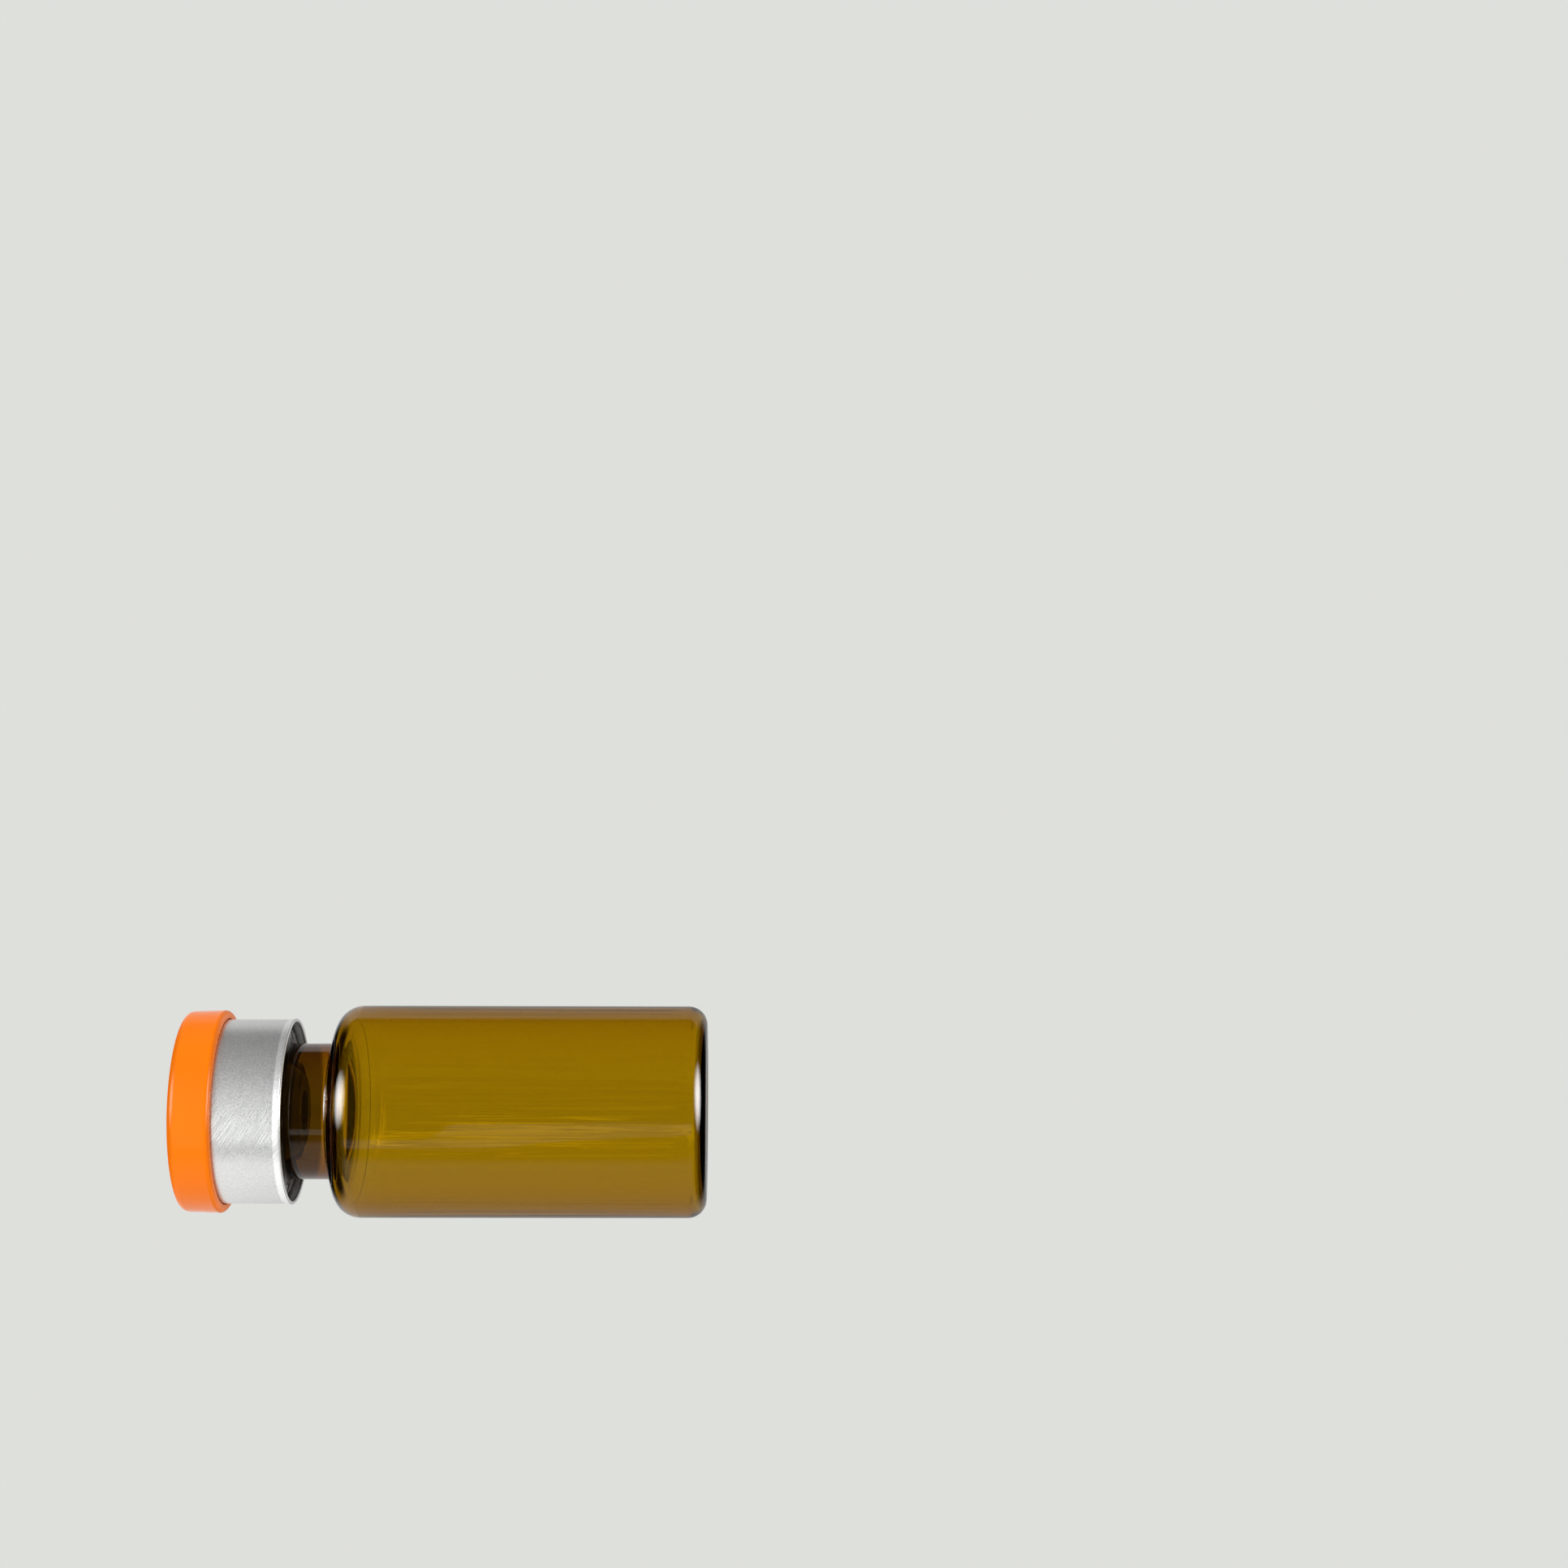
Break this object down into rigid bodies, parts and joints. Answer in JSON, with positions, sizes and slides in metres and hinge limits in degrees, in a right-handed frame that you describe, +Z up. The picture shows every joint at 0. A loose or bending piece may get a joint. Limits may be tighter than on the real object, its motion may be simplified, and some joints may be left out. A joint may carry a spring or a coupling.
{
  "type": "glass sample vial",
  "caption": "Small amber glass vial with a rubber stopper, an uncrimped aluminium seal and an orange plastic flip-up button.",
  "frame": {"origin": "centre of the base, in the plane of the foot ring", "axes": "+Z up along the vial's axis, towards the button; X and Y alike, because it is a body of revolution"},
  "size_m": [0.0159, 0.0158, 0.0393],
  "materials": {
    "amber_glass": "clear, glossy, amber through the whole wall",
    "stopper_rubber": "matt, moulded",
    "seal_aluminium": "satin, finely scratched",
    "button_plastic": "semi-gloss, moulded"
  },
  "bodies": {
    "root": {"glass_vial": "amber_glass", "rubber_stopper": "stopper_rubber", "aluminium_seal": "seal_aluminium", "cap_button": "button_plastic"}
  },
  "joints": []
}
